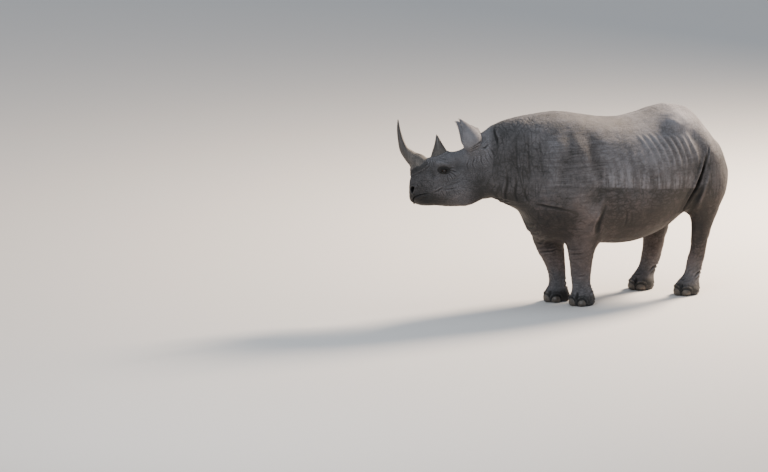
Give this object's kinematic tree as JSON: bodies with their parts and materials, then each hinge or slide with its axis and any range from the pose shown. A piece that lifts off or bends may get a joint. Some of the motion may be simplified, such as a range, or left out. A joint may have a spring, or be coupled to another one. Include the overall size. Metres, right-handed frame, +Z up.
{
  "type": "black rhinoceros",
  "caption": "Life-size standing black rhinoceros with its head turned to its right, hooked upper lip, front and rear horns, upright cupped ears and a hanging tufted tail.",
  "frame": {"origin": "on the floor under the middle of the animal's box, between its feet", "axes": "+Z up, -X ahead along the trunk, -Y towards the animal's left side"},
  "size_m": [2.767, 0.9806, 1.6201],
  "materials": {
    "skin": "thick dusty grey hide, matt and finely cracked, folded at the joints and darker low down",
    "horn": "dark fibrous keratin, rough at the base and worn smooth towards the tip",
    "nail": "dark worn keratin with growth ridges",
    "eye": "wet and very dark brown",
    "hair": "coarse black bristles"
  },
  "bodies": {
    "root": {"trunk": "skin", "neck": "skin", "head": "skin", "tail": "skin", "tail_tuft": "hair", "ear_left": "skin", "eye_left": "eye", "ear_right": "skin", "eye_right": "eye", "horn_front": "horn", "horn_rear": "horn", "leg_front_left": "skin", "foot_front_left": "skin", "nail_front_left_inner": "nail", "nail_front_left_middle": "nail", "nail_front_left_outer": "nail", "leg_front_right": "skin", "foot_front_right": "skin", "nail_front_right_inner": "nail", "nail_front_right_middle": "nail", "nail_front_right_outer": "nail", "leg_hind_left": "skin", "foot_hind_left": "skin", "nail_hind_left_inner": "nail", "nail_hind_left_middle": "nail", "nail_hind_left_outer": "nail", "leg_hind_right": "skin", "foot_hind_right": "skin", "nail_hind_right_inner": "nail", "nail_hind_right_middle": "nail", "nail_hind_right_outer": "nail"}
  },
  "joints": []
}
